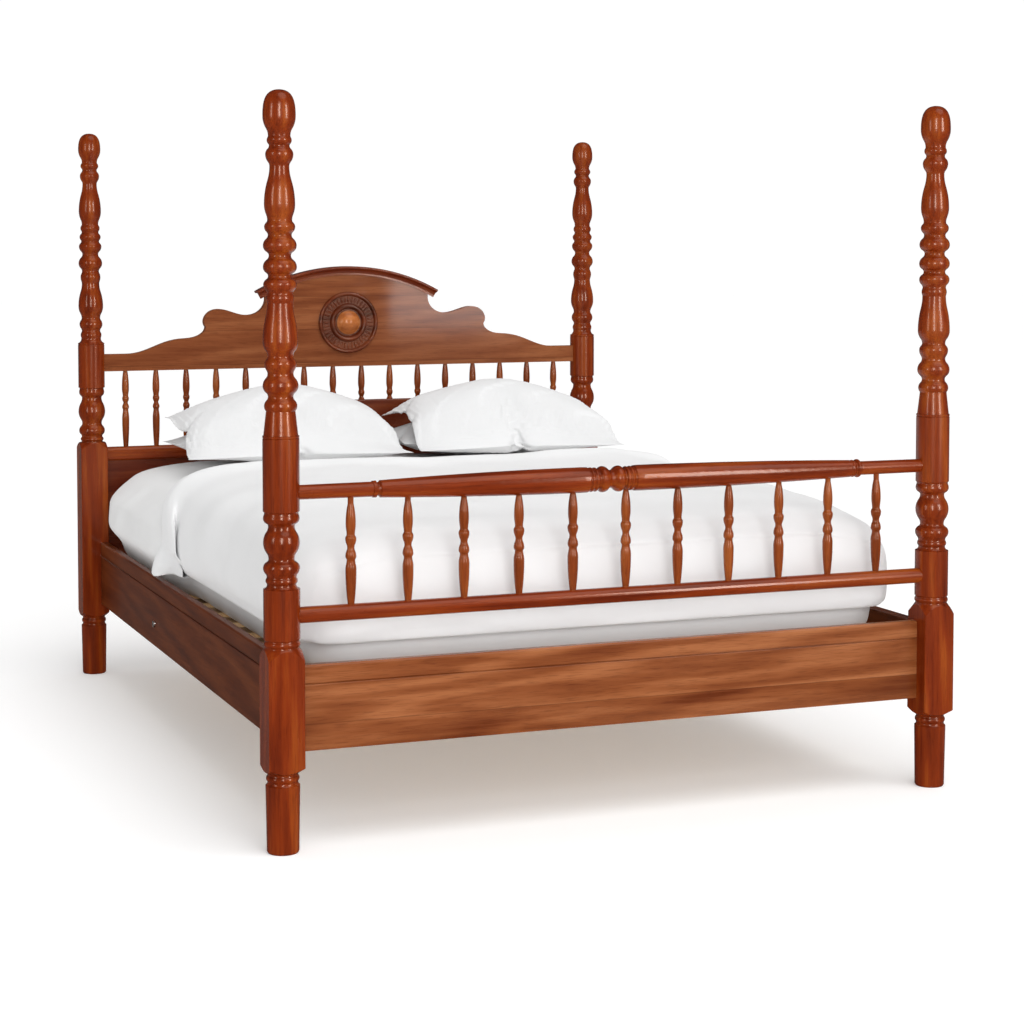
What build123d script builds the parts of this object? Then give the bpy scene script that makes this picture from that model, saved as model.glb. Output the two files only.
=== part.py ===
from build123d import *
import os

# A turned four poster bed with its mattress, duvet and pillows, in millimetres.
# X runs across the bed, +Y from the foot to the head and +Z up, from the floor's centre.

# ---- driving dimensions ----
POST_SPAN_X = 1590.0  # between post axes, side to side
POST_SPAN_Y = 2098.0  # between post axes, foot to head
POST_HEIGHT = 1610.0
STOCK = 79.0  # square stock that each post is turned from
STOCK_EDGE = 3.0  # rounding along its edges
SHOULDER_R = 58.0  # past the stock's corners, so the lathe only cuts the shoulders

FRONT_JOINT_Z = 881.0  # where the upper part of a front post plugs in
BACK_JOINT_Z = 985.0  # the same on a back post, above the headboard panel
SPIGOT_R = 13.5
SPIGOT_LENGTH = 45.0

RAIL_BOTTOM_Z = 212.0  # side rails and foot board
RAIL_TOP_Z = 396.0
RAIL_T = 24.0
RAIL_EDGE = 4.0
STRIP_DEPTH = 41.0  # top strip above the scratched line
SCRATCH = 2.5
FOOT_BOARD_SET_BACK = 37.0  # behind the front of the post block
TENON_T = 12.0
TENON_LENGTH = 28.0
TENON_HEIGHT = 120.0

FOOT_LOWER_RAIL_Z = 504.0
FOOT_LOWER_RAIL_R = 17.5
FOOT_TOP_RAIL_Z = 765.0
RAIL_SOCKET = 19.0  # how far a round rail goes into its post
TOP_RAIL_END_R = 15.6
TOP_RAIL_BORE_Z = 700.0  # the spindle holes are bored up from below the rail
LOWER_RAIL_BORE_DEPTH = 20.0
FOOT_SPINDLES = 11
FOOT_SPINDLE_PITCH = 128.5
FOOT_SPINDLE_BOTTOM = 508.0
FOOT_SPINDLE_TOP = 752.0
FOOT_SPINDLE_PIN_R = 6.4
FOOT_SPINDLE_FOOT_R = 7.5

PANEL_BOTTOM_Z = 904.0
PANEL_T = 24.0
PANEL_HOUSING = 13.0  # depth of its ends in the back posts
PANEL_END_H = 51.0  # height of its level ends
PANEL_END_INNER_X = 690.0
ARCH_HALF_WIDTH = 292.0
ARCH_TIP = 235.0  # above the panel's bottom edge
ARCH_TOP = 310.0
CREST_LAP = 7.0  # thickness of the moulding over the panel's top edge
CREST_FACE_H = 27.0
ARCH_SPRING_X = 262.0
MEDALLION_Z = 1040.0
MEDALLION_R = 95.0
BOSS_R = 37.0
MEDALLION_FACE = 3.0  # how far the flat between the rings stands proud of the panel
BOSS_H = 22.0

HEAD_RAIL_Z = 677.0  # top of the lower headboard rail
HEAD_RAIL_T = 35.0
HEAD_RAIL_HEIGHT = 40.0
HEAD_BOARD_BOTTOM_Z = 330.0
HEAD_BOARD_T = 22.0
HEAD_HOUSING = 10.0
SLIP_HALF_WIDTH = 430.0
SLIP_T = 12.0
SLIP_BOTTOM_Z = 560.0
SLIP_TOP_Z = 800.0
SLIP_CORNER_R = 45.0
HEAD_SPINDLES = 16
HEAD_SPINDLE_PITCH = 92.5
HEAD_SPINDLE_PIN = 8.0
HEAD_SPINDLE_PIN_R = 5.0

CLEAT_W = 22.0
CLEAT_H = 30.0
CLEAT_LENGTH = 1900.0
SLAT_BOTTOM_Z = 327.0
SLAT_W = 90.0
SLAT_T = 18.0
SLAT_COUNT = 13
SLAT_PITCH = 155.0
BEARER_Y = 280.0
BEARER_T = 36.0
BEARER_H = 90.0
BOLT_Z = 270.0
BOLT_R = 4.0
BOLT_LENGTH = 84.0
BOLT_HEAD_R = 9.0
BOLT_HEAD_H = 4.0
HEX_ACROSS = 6.0
NUT_R = 7.0
NUT_LENGTH = 30.0
NUT_INSET = 45.0  # from the bearer's end

HOOK_T = 3.0
HOOK_PLATE_L = 40.0
HOOK_PLATE_H = 124.0
HOOK_REACH = 22.0
HOOK_PITCH = 76.0
SLOT_T = 3.6
SLOT_DEPTH = 26.0
SLOT_H = 132.0
PIN_R = 2.5
PIN_LENGTH = 30.0

MATTRESS_W = 1484.0
MATTRESS_L = 1980.0
MATTRESS_TOP_Z = 640.0
MATTRESS_CORNER_R = 70.0
MATTRESS_EDGE_R = 38.0
DUVET_W = 1501.0
DUVET_FOOT_Y = -1000.0
DUVET_HEAD_Y = 300.0
DUVET_HEM_Z = 404.0
DUVET_TOP_Z = 674.0
FOLD_Y = 200.0  # foot side of the turned-back band
FOLD_W = 1546.0
FOLD_TOP_Z = 698.0
FOLD_CORNER_R = 85.0
DUVET_EDGE_R = 58.0
SOFT_GAP = 1.0
PILLOW_BOTTOM_Z = MATTRESS_TOP_Z + SOFT_GAP
PILLOW_BACK_Y = 985.0

# ---- derived places ----
POST_X = POST_SPAN_X / 2
POST_Y = POST_SPAN_Y / 2
BLOCK_HALF = STOCK / 2
CLEAR_X = POST_X - BLOCK_HALF  # inner faces of the blocks and of the side rails
CLEAR_Y = POST_Y - BLOCK_HALF
RAIL_X = CLEAR_X + RAIL_T / 2
RAIL_MID_Z = (RAIL_BOTTOM_Z + RAIL_TOP_Z) / 2
FOOT_BOARD_Y = -POST_Y - BLOCK_HALF + FOOT_BOARD_SET_BACK + RAIL_T / 2
ROUND_RAIL_END = POST_X - BLOCK_HALF + RAIL_SOCKET
PANEL_FRONT_Y = POST_Y - PANEL_T / 2
ARCH_RISE = ARCH_TOP - ARCH_TIP
CREST_R = (ARCH_HALF_WIDTH**2 + ARCH_RISE**2) / (2 * ARCH_RISE)
PANEL_HALF = CLEAR_X + PANEL_HOUSING
SLAT_TOP_Z = SLAT_BOTTOM_Z + SLAT_T

# ---- lathe patterns: (kind, height above the floor, radius) ----
FOOT_TURNING = [
    ("edge", 0, 32),
    ("edge", 4, 34.5),
    ("edge", 145, 36.7),
    ("cove", 152, 32.6),
    ("bead", 160, 35.6),
    ("cove", 168, 32.4),
]

FRONT_LOWER = FOOT_TURNING + [
    ("edge", 173, 37),
    ("edge", 186, SHOULDER_R),
    ("edge", 409, SHOULDER_R),
    ("edge", 436, 38.4),
    ("cove", 439, 36.8),
    ("bead", 446, 39.2),
    ("cove", 453, 36.8),
    ("edge", 456, 39),
    ("edge", 563, 39),
    ("cove", 572, 31),
    ("bead", 580, 34),
    ("cove", 588, 31.5),
    ("bead", 607, 39),
    ("cove", 626, 27.5),
    ("swell", 661, 38.6),
    ("cove", 695, 28),
    ("bead", 712, 38.6),
    ("cove", 723, 36.2),
    ("edge", 727, 38.9),
    ("edge", FRONT_JOINT_Z - 1.5, 38.9),
    ("edge", FRONT_JOINT_Z, 37.6),
]

FRONT_UPPER = [
    ("edge", FRONT_JOINT_Z - SPIGOT_LENGTH, SPIGOT_R),
    ("edge", FRONT_JOINT_Z, SPIGOT_R),
    ("edge", FRONT_JOINT_Z, 37.6),
    ("edge", FRONT_JOINT_Z + 1.5, 38.9),
    ("edge", 886, 38.9),
    ("edge", 887, 36.8),
    ("edge", 938, 31),
    ("bead", 948, 34.9),
    ("cove", 968, 26.5),
    ("bead", 991, 37.5),
    ("cove", 1016, 27.2),
    ("bead", 1037, 33.6),
    ("cove", 1053, 26.9),
    ("swell", 1083, 37.1),
    ("cove", 1164, 27.3),
    ("bead", 1174, 29.2),
    ("cove", 1185, 27),
    ("bead", 1203, 35.1),
    ("cove", 1221, 25),
    ("bead", 1240, 35.4),
    ("cove", 1264, 23.2),
    ("bead", 1285, 35.2),
    ("cove", 1307, 24.8),
    ("bead", 1324, 32.4),
    ("cove", 1338, 26),
    ("swell", 1371, 32.5),
    ("cove", 1450, 20.7),
    ("bead", 1475, 29.3),
    ("cove", 1493, 21.5),
    ("bead", 1504, 26.1),
    ("cove", 1514, 23.4),
    ("swell", 1555, 34.7),
    ("dome", POST_HEIGHT, 0),
]

BACK_LOWER = FOOT_TURNING + [
    ("edge", 174, 37),
    ("edge", 190, SHOULDER_R),
    ("edge", 672, SHOULDER_R),
    ("edge", 693, 38.4),
    ("cove", 697, 31),
    ("bead", 703, 33.7),
    ("cove", 711, 30),
    ("bead", 728, 37.7),
    ("cove", 750, 28.5),
    ("swell", 785, 39),
    ("cove", 826, 28.5),
    ("bead", 843, 36.8),
    ("cove", 854, 35),
    ("edge", 857, 38.6),
    ("edge", BACK_JOINT_Z - 1.5, 38.6),
    ("edge", BACK_JOINT_Z, 37.4),
]

BACK_UPPER = [
    ("edge", BACK_JOINT_Z - SPIGOT_LENGTH, SPIGOT_R),
    ("edge", BACK_JOINT_Z, SPIGOT_R),
    ("edge", BACK_JOINT_Z, 37.4),
    ("edge", BACK_JOINT_Z + 1.5, 38.6),
    ("edge", 989, 38.6),
    ("cove", 1003, 28.5),
    ("bead", 1013, 30.5),
    ("cove", 1026, 26.8),
    ("bead", 1045, 33.5),
    ("cove", 1064, 27),
    ("swell", 1099, 36),
    ("cove", 1166, 25.5),
    ("bead", 1185, 29),
    ("cove", 1203, 24.6),
    ("bead", 1226, 34.4),
    ("cove", 1253, 23),
    ("bead", 1276, 32.8),
    ("cove", 1291, 26),
    ("bead", 1304, 30.8),
    ("cove", 1318, 24.4),
    ("bead", 1330, 28),
    ("cove", 1342, 24),
    ("swell", 1380, 32.3),
    ("cove", 1461, 20.7),
    ("bead", 1484, 28),
    ("cove", 1502, 21),
    ("bead", 1514, 26),
    ("cove", 1525, 22),
    ("swell", 1562, 32.4),
    ("dome", POST_HEIGHT, 0),
]

HEAD_SPINDLE = [
    ("edge", HEAD_RAIL_Z - HEAD_SPINDLE_PIN, HEAD_SPINDLE_PIN_R),
    ("edge", HEAD_RAIL_Z, HEAD_SPINDLE_PIN_R),
    ("edge", HEAD_RAIL_Z, 7),
    ("swell", 759, 10.5),
    ("cove", 788, 8),
    ("bead", 795, 10.2),
    ("cove", 808, 6.6),
    ("bead", 821, 10),
    ("cove", 829, 8.2),
    ("swell", 852, 10.4),
    ("edge", PANEL_BOTTOM_Z, 6.3),
    ("edge", PANEL_BOTTOM_Z, HEAD_SPINDLE_PIN_R),
    ("edge", PANEL_BOTTOM_Z + HEAD_SPINDLE_PIN, HEAD_SPINDLE_PIN_R),
]

FOOT_SPINDLE = [
    ("edge", FOOT_SPINDLE_BOTTOM, FOOT_SPINDLE_FOOT_R),
    ("edge", 523, FOOT_SPINDLE_FOOT_R),
    ("swell", 594, 12),
    ("cove", 615, 9.2),
    ("bead", 623, 11.8),
    ("cove", 642, 7.8),
    ("bead", 661, 12),
    ("cove", 670, 9),
    ("swell", 694, 10.9),
    ("edge", 736, FOOT_SPINDLE_PIN_R),
    ("edge", FOOT_SPINDLE_TOP, FOOT_SPINDLE_PIN_R),
]

# The foot's top rail is turned lying along X, so its heights are places along X.
COLLAR_X = 583.0
TURNING_X = -39.0  # middle of the turned centre, a little to the left
FOOT_TOP_RAIL = [
    ("edge", -ROUND_RAIL_END, 15.5),
    ("edge", -COLLAR_X - 12, 16.2),
    ("edge", -COLLAR_X - 11, 18),
    ("edge", -COLLAR_X - 4, 18.4),
    ("cove", -COLLAR_X, 14.5),
    ("edge", -COLLAR_X + 6, 18.6),
    ("swell", -110, 28.6),
    ("edge", -96, 28.2),
    ("cove", -92, 25),
    ("bead", -87, 27.4),
    ("cove", -82, 24.5),
    ("bead", -77, 27),
    ("cove", -71, 22.5),
    ("bead", -59, 29.2),
    ("cove", TURNING_X, 20),
    ("bead", -19, 29.2),
    ("cove", -7, 22.5),
    ("bead", -1, 27),
    ("cove", 4, 24.5),
    ("bead", 9, 27.4),
    ("cove", 14, 25),
    ("edge", 18, 28.4),
    ("swell", 34, 29),
    ("edge", COLLAR_X - 14, 19.8),
    ("cove", COLLAR_X - 12, 18),
    ("bead", COLLAR_X - 6, 20),
    ("cove", COLLAR_X, 16.5),
    ("bead", COLLAR_X + 7, 21.4),
    ("cove", COLLAR_X + 14, 15.8),
    ("edge", COLLAR_X + 17, 16),
    ("edge", ROUND_RAIL_END, 15.5),
]

FLANK = 0.65  # share of the way from a bead to a cove at which one arc meets the other


def half_turning(round_point, other_point):
    """An arc that leaves a bead or a cove along the work and ends at the other point."""
    away = 1 if other_point[1] > round_point[1] else -1
    TangentArc(round_point, other_point, tangent=(0, away))


def lathe_outline(pattern):
    """The closed half outline of a turning, in the sketch's own X (radius) and Y (height)."""
    with BuildLine() as outline:
        for (kind, height, radius), (next_kind, next_height, next_radius) in zip(pattern, pattern[1:]):
            start = (radius, height)
            end = (next_radius, next_height)
            if next_kind == "dome":
                Spline(start, end, tangents=[(0, 1), (-1, 0)])
            elif kind == "edge" and next_kind == "edge":
                Line(start, end)
            elif kind == "edge":
                half_turning(end, start)
            elif next_kind == "edge":
                half_turning(start, end)
            else:
                share = FLANK if radius > next_radius else 1 - FLANK
                flank = (radius + share * (next_radius - radius), height + share * (next_height - height))
                half_turning(start, flank)
                half_turning(end, flank)
        bottom = pattern[0]
        top = pattern[-1]
        Line((bottom[2], bottom[1]), (0, bottom[1]))
        Line((0, bottom[1]), (0, top[1]))
        if top[2] > 0:
            Line((0, top[1]), (top[2], top[1]))
    make_face(outline.edges())


def upright(x, y):
    """The plane through a post's or spindle's axis, facing the foot."""
    return Plane(origin=(x, y, 0), x_dir=(1, 0, 0), z_dir=(0, -1, 0))


def turned_upright(x, y, pattern):
    with BuildPart() as turning:
        with BuildSketch(upright(x, y)):
            lathe_outline(pattern)
        revolve(axis=Axis((x, y, 0), (0, 0, 1)))
    return turning


def finish(piece, name):
    piece.part.label = name
    export_step(piece.part, f"parts/{name}.step")


os.makedirs("parts", exist_ok=True)


# ---- posts ----
def lower_post(side, end, pattern, joint_z):
    """A square billet turned between its blocks, bored and slotted for everything that it holds."""
    x = side * POST_X
    y = end * POST_Y
    inner_y = y - end * BLOCK_HALF
    with BuildPart() as post:
        with BuildSketch(upright(x, y)):
            lathe_outline(pattern)
        revolve(axis=Axis((x, y, 0), (0, 0, 1)))
        with BuildSketch(Plane.XY):
            with Locations((x, y)):
                RectangleRounded(STOCK, STOCK, STOCK_EDGE)
        extrude(amount=POST_HEIGHT, mode=Mode.INTERSECT)
        with Locations((x, y, joint_z - (SPIGOT_LENGTH + 3) / 2)):
            Cylinder(SPIGOT_R + 0.2, SPIGOT_LENGTH + 3, mode=Mode.SUBTRACT)
        # slot for the side rail's hooks, and holes for the pins across it
        slot_y = inner_y + end * SLOT_DEPTH / 2
        with Locations((side * RAIL_X, slot_y, RAIL_MID_Z)):
            Box(SLOT_T, SLOT_DEPTH, SLOT_H, mode=Mode.SUBTRACT)
        with Locations(*hook_pin_places(side, end)):
            Cylinder(PIN_R, PIN_LENGTH, rotation=(0, 90, 0), mode=Mode.SUBTRACT)
        if end < 0:
            with Locations((x - side * (BLOCK_HALF - TENON_LENGTH / 2), FOOT_BOARD_Y, RAIL_MID_Z)):
                Box(TENON_LENGTH, TENON_T, TENON_HEIGHT, mode=Mode.SUBTRACT)
            socket_x = side * (CLEAR_X + RAIL_SOCKET / 2)
            with Locations((socket_x, y, FOOT_LOWER_RAIL_Z)):
                Cylinder(FOOT_LOWER_RAIL_R, RAIL_SOCKET, rotation=(0, 90, 0), mode=Mode.SUBTRACT)
            with Locations((socket_x, y, FOOT_TOP_RAIL_Z)):
                Cylinder(TOP_RAIL_END_R, RAIL_SOCKET, rotation=(0, 90, 0), mode=Mode.SUBTRACT)
        else:
            housing_x = side * (CLEAR_X + HEAD_HOUSING / 2)
            with Locations((housing_x, y, HEAD_RAIL_Z - HEAD_RAIL_HEIGHT / 2)):
                Box(HEAD_HOUSING, HEAD_RAIL_T, HEAD_RAIL_HEIGHT, mode=Mode.SUBTRACT)
            board_top = HEAD_RAIL_Z - HEAD_RAIL_HEIGHT
            with Locations((housing_x, y, (HEAD_BOARD_BOTTOM_Z + board_top) / 2)):
                Box(HEAD_HOUSING, HEAD_BOARD_T, board_top - HEAD_BOARD_BOTTOM_Z, mode=Mode.SUBTRACT)
            with Locations((side * (CLEAR_X + PANEL_HOUSING / 2), y, PANEL_BOTTOM_Z + PANEL_END_H / 2)):
                Box(PANEL_HOUSING, PANEL_T, PANEL_END_H, mode=Mode.SUBTRACT)
    return post


def hook_pin_places(side, end):
    pin_y = end * (CLEAR_Y + HOOK_REACH / 2 + 2)
    return [(side * RAIL_X, pin_y, RAIL_MID_Z + dz) for dz in (-HOOK_PITCH / 2, HOOK_PITCH / 2)]


for side, side_name in ((-1, "left"), (1, "right")):
    finish(lower_post(side, -1, FRONT_LOWER, FRONT_JOINT_Z), f"front_{side_name}_post")
    finish(turned_upright(side * POST_X, -POST_Y, FRONT_UPPER), f"front_{side_name}_post_top")
    finish(lower_post(side, 1, BACK_LOWER, BACK_JOINT_Z), f"back_{side_name}_post")
    finish(turned_upright(side * POST_X, POST_Y, BACK_UPPER), f"back_{side_name}_post_top")


# ---- side rails and foot board ----
def rail_section(outer):
    """A board's section with eased top edges and a scratched line under its top strip.

    The sketch's X runs through the thickness, and outer is +1 or -1 for the face with the line.
    """
    half = RAIL_T / 2
    line_z = RAIL_TOP_Z - STRIP_DEPTH
    with BuildLine() as outline:
        Polyline(
            (-outer * half, RAIL_BOTTOM_Z),
            (-outer * half, RAIL_TOP_Z - RAIL_EDGE),
            (-outer * (half - RAIL_EDGE), RAIL_TOP_Z),
            (outer * (half - RAIL_EDGE), RAIL_TOP_Z),
            (outer * half, RAIL_TOP_Z - RAIL_EDGE),
            (outer * half, line_z + SCRATCH),
            (outer * (half - SCRATCH), line_z),
            (outer * half, line_z - SCRATCH),
            (outer * half, RAIL_BOTTOM_Z),
            close=True,
        )
    make_face(outline.edges())


def side_rail(side):
    """A side board with a pocket in each end for its hook plate, and a hole for the bearer's bolt."""
    plane = Plane(origin=(side * RAIL_X, CLEAR_Y, 0), x_dir=(1, 0, 0), z_dir=(0, -1, 0))
    with BuildPart() as rail:
        with BuildSketch(plane):
            rail_section(side)
        extrude(amount=2 * CLEAR_Y)
        for end in (-1, 1):
            with Locations((side * RAIL_X, end * (CLEAR_Y - HOOK_PLATE_L / 2), RAIL_MID_Z)):
                Box(HOOK_T, HOOK_PLATE_L, HOOK_PLATE_H, mode=Mode.SUBTRACT)
        with Locations((side * RAIL_X, BEARER_Y, BOLT_Z)):
            Cylinder(BOLT_R, RAIL_T, rotation=(0, 90, 0), mode=Mode.SUBTRACT)
    return rail


finish(side_rail(-1), "side_rail_left")
finish(side_rail(1), "side_rail_right")

with BuildPart() as foot_board:
    board_plane = Plane(origin=(-CLEAR_X, FOOT_BOARD_Y, 0), x_dir=(0, 1, 0), z_dir=(1, 0, 0))
    with BuildSketch(board_plane):
        rail_section(-1)
    extrude(amount=2 * CLEAR_X)
    with Locations((0, FOOT_BOARD_Y, RAIL_MID_Z)):
        Box(2 * (CLEAR_X + TENON_LENGTH), TENON_T, TENON_HEIGHT)
finish(foot_board, "foot_board")


# ---- foot rails and their spindles ----
spindle_x = [(i - (FOOT_SPINDLES - 1) / 2) * FOOT_SPINDLE_PITCH for i in range(FOOT_SPINDLES)]

with BuildPart() as foot_top_rail:
    with BuildSketch(Plane(origin=(0, -POST_Y, FOOT_TOP_RAIL_Z), x_dir=(0, 0, 1), z_dir=(0, 1, 0))):
        lathe_outline(FOOT_TOP_RAIL)
    revolve(axis=Axis((0, -POST_Y, FOOT_TOP_RAIL_Z), (1, 0, 0)))
    for x in spindle_x:
        with Locations((x, -POST_Y, (FOOT_SPINDLE_TOP + TOP_RAIL_BORE_Z) / 2)):
            Cylinder(FOOT_SPINDLE_PIN_R, FOOT_SPINDLE_TOP - TOP_RAIL_BORE_Z, mode=Mode.SUBTRACT)
finish(foot_top_rail, "foot_top_rail")

with BuildPart() as foot_lower_rail:
    with BuildSketch(Plane(origin=(-ROUND_RAIL_END, -POST_Y, FOOT_LOWER_RAIL_Z), z_dir=(1, 0, 0))):
        Circle(FOOT_LOWER_RAIL_R)
    extrude(amount=2 * ROUND_RAIL_END)
    for x in spindle_x:
        with Locations((x, -POST_Y, FOOT_SPINDLE_BOTTOM + LOWER_RAIL_BORE_DEPTH / 2)):
            Cylinder(FOOT_SPINDLE_FOOT_R, LOWER_RAIL_BORE_DEPTH, mode=Mode.SUBTRACT)
finish(foot_lower_rail, "foot_lower_rail")

for number, x in enumerate(spindle_x, 1):
    finish(turned_upright(x, -POST_Y, FOOT_SPINDLE), f"foot_spindle_{number:02d}")


# ---- headboard ----
def panel_outline():
    """The headboard's front view above its bottom edge: level ends, a bracket, a scroll and the arch."""
    arch_centre = ARCH_TOP - CREST_R
    inner_r = CREST_R - CREST_LAP
    spring_z = arch_centre + (inner_r**2 - ARCH_SPRING_X**2) ** 0.5
    with BuildLine() as outline:
        for flip in (-1, 1):
            Line((0, 0), (flip * PANEL_HALF, 0))
            Line((flip * PANEL_HALF, 0), (flip * PANEL_HALF, PANEL_END_H))
            Line((flip * PANEL_HALF, PANEL_END_H), (flip * PANEL_END_INNER_X, PANEL_END_H))
            Spline(
                (flip * PANEL_END_INNER_X, PANEL_END_H),
                (flip * 607, 71),
                (flip * 520, 94),
                tangents=[(-flip, 0), (-flip, 0.05)],
            )
            Spline(
                (flip * 520, 94),
                (flip * 463, 107),
                (flip * 449, 128),
                tangents=[(-flip, 0.05), (-flip * 0.1, 1)],
            )
            Spline(
                (flip * 449, 128),
                (flip * 454, 150),
                (flip * 437, 174),
                (flip * 405, 182),
                (flip * 362, 171),
                (flip * 322, 163),
                (flip * 289, 170),
                (flip * 268, 190),
                (flip * ARCH_SPRING_X, 212),
            )
            Line((flip * ARCH_SPRING_X, 212), (flip * ARCH_SPRING_X, spring_z))
        ThreePointArc((-ARCH_SPRING_X, spring_z), (0, arch_centre + inner_r), (ARCH_SPRING_X, spring_z))
    make_face(outline.edges())


with BuildPart() as headboard_panel:
    panel_plane = Plane(origin=(0, POST_Y + PANEL_T / 2, PANEL_BOTTOM_Z), x_dir=(1, 0, 0), z_dir=(0, -1, 0))
    with BuildSketch(panel_plane):
        panel_outline()
    extrude(amount=PANEL_T)
    with Locations((0, POST_Y, PANEL_BOTTOM_Z + HEAD_SPINDLE_PIN / 2)):
        with GridLocations(HEAD_SPINDLE_PITCH, 1, HEAD_SPINDLES, 1):
            Cylinder(HEAD_SPINDLE_PIN_R, HEAD_SPINDLE_PIN, mode=Mode.SUBTRACT)
finish(headboard_panel, "headboard_panel")

with BuildPart() as crest_moulding:
    crest_centre_z = PANEL_BOTTOM_Z + ARCH_TOP - CREST_R
    half_arc = Axis.Z.direction.get_angle(Vector(ARCH_HALF_WIDTH, 0, CREST_R - ARCH_RISE))
    # bent round the arch: it covers the panel's top edge and stands proud of its face
    with BuildSketch(Plane(origin=(0, 0, crest_centre_z), x_dir=(0, 1, 0), z_dir=(1, 0, 0))):
        with BuildLine():
            Polyline(
                (PANEL_FRONT_Y, CREST_R - CREST_FACE_H),
                (PANEL_FRONT_Y, CREST_R - CREST_LAP),
                (POST_Y + PANEL_T / 2 + 3, CREST_R - CREST_LAP),
                (POST_Y + PANEL_T / 2 + 3, CREST_R),
                (PANEL_FRONT_Y - 12, CREST_R),
            )
            ThreePointArc(
                (PANEL_FRONT_Y - 12, CREST_R),
                (PANEL_FRONT_Y - 15.5, CREST_R - 4.5),
                (PANEL_FRONT_Y - 12, CREST_R - 9),
            )
            Line((PANEL_FRONT_Y - 12, CREST_R - 9), (PANEL_FRONT_Y - 9, CREST_R - 10))
            ThreePointArc(
                (PANEL_FRONT_Y - 9, CREST_R - 10),
                (PANEL_FRONT_Y - 4, CREST_R - 15),
                (PANEL_FRONT_Y - 3, CREST_R - 24),
            )
            Polyline(
                (PANEL_FRONT_Y - 3, CREST_R - 24),
                (PANEL_FRONT_Y - 3, CREST_R - CREST_FACE_H),
                (PANEL_FRONT_Y, CREST_R - CREST_FACE_H),
            )
        make_face()
    crest_axis = Axis((0, 0, crest_centre_z), (0, 1, 0))
    right_half = revolve(axis=crest_axis, revolution_arc=half_arc)
    mirror(right_half, about=Plane.YZ)
finish(crest_moulding, "crest_moulding")

# The medallion is turned on a faceplate and glued to the panel.
with BuildPart() as medallion_ring:
    medallion_plane = Plane(origin=(0, PANEL_FRONT_Y, MEDALLION_Z), x_dir=(1, 0, 0), z_dir=(0, 0, 1))
    with BuildSketch(medallion_plane):
        with BuildLine():
            Line((0, 0), (MEDALLION_R, 0))
            Line((MEDALLION_R, 0), (MEDALLION_R, -5))
            TangentArc((MEDALLION_R, -5), (84, -6), tangent=(0, -1))
            Line((84, -6), (82, -MEDALLION_FACE))
            Line((82, -MEDALLION_FACE), (60, -MEDALLION_FACE))
            Line((60, -MEDALLION_FACE), (58, -7))
            ThreePointArc((58, -7), (51, -13), (44, -7))
            Line((44, -7), (42, -MEDALLION_FACE))
            Line((42, -MEDALLION_FACE), (0, -MEDALLION_FACE))
            Line((0, -MEDALLION_FACE), (0, 0))
        make_face()
    revolve(axis=Axis((0, PANEL_FRONT_Y, MEDALLION_Z), (0, 1, 0)))
finish(medallion_ring, "medallion_ring")

with BuildPart() as medallion_boss:
    boss_origin = (0, PANEL_FRONT_Y - MEDALLION_FACE, MEDALLION_Z)
    boss_plane = Plane(origin=boss_origin, x_dir=(1, 0, 0), z_dir=(0, 0, 1))
    with BuildSketch(boss_plane):
        with BuildLine():
            Line((0, 0), (BOSS_R, 0))
            Line((BOSS_R, 0), (BOSS_R, -3))
            Line((BOSS_R, -3), (BOSS_R - 3, -5))
            TangentArc((0, -BOSS_H), (BOSS_R - 3, -5), tangent=(1, 0))
            Line((0, -BOSS_H), (0, 0))
        make_face()
    revolve(axis=Axis((0, PANEL_FRONT_Y, MEDALLION_Z), (0, 1, 0)))
finish(medallion_boss, "medallion_boss")

with BuildPart() as headboard_rail:
    rail_half_length = CLEAR_X + HEAD_HOUSING
    with BuildSketch(Plane(origin=(-rail_half_length, POST_Y, 0), x_dir=(0, 1, 0), z_dir=(1, 0, 0))):
        half = HEAD_RAIL_T / 2
        bottom = HEAD_RAIL_Z - HEAD_RAIL_HEIGHT
        with BuildLine():
            Polyline((-half + 4, bottom), (-half, bottom + 5), (-half, bottom + 26))
            TangentArc((-half, bottom + 26), (-half + 13, HEAD_RAIL_Z), tangent=(0, 1))
            Line((-half + 13, HEAD_RAIL_Z), (half - 13, HEAD_RAIL_Z))
            TangentArc((half, bottom + 26), (half - 13, HEAD_RAIL_Z), tangent=(0, 1))
            Polyline((half, bottom + 26), (half, bottom), (-half + 4, bottom))
        make_face()
    extrude(amount=2 * rail_half_length)
    with Locations((0, POST_Y, HEAD_RAIL_Z - HEAD_SPINDLE_PIN / 2)):
        with GridLocations(HEAD_SPINDLE_PITCH, 1, HEAD_SPINDLES, 1):
            Cylinder(HEAD_SPINDLE_PIN_R, HEAD_SPINDLE_PIN, mode=Mode.SUBTRACT)
finish(headboard_rail, "headboard_rail")

with BuildPart() as headboard_board:
    board_top_z = HEAD_RAIL_Z - HEAD_RAIL_HEIGHT
    with BuildSketch(Plane.XY.offset(HEAD_BOARD_BOTTOM_Z)):
        with Locations((0, POST_Y)):
            Rectangle(2 * (CLEAR_X + HEAD_HOUSING), HEAD_BOARD_T)
    extrude(amount=board_top_z - HEAD_BOARD_BOTTOM_Z)
finish(headboard_board, "headboard_board")

with BuildPart() as headboard_slip:
    slip_plane = Plane(origin=(0, POST_Y - HEAD_RAIL_T / 2, SLIP_BOTTOM_Z), x_dir=(1, 0, 0), z_dir=(0, -1, 0))
    with BuildSketch(slip_plane):
        with Locations((0, (SLIP_TOP_Z - SLIP_BOTTOM_Z) / 2)):
            Rectangle(2 * SLIP_HALF_WIDTH, SLIP_TOP_Z - SLIP_BOTTOM_Z)
        fillet(vertices().group_by(Axis.Y)[-1], SLIP_CORNER_R)
    extrude(amount=SLIP_T)
    chamfer(faces().sort_by(Axis.Y)[0].edges().sort_by(Axis.Z)[-1], 4)
finish(headboard_slip, "headboard_slip")

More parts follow.
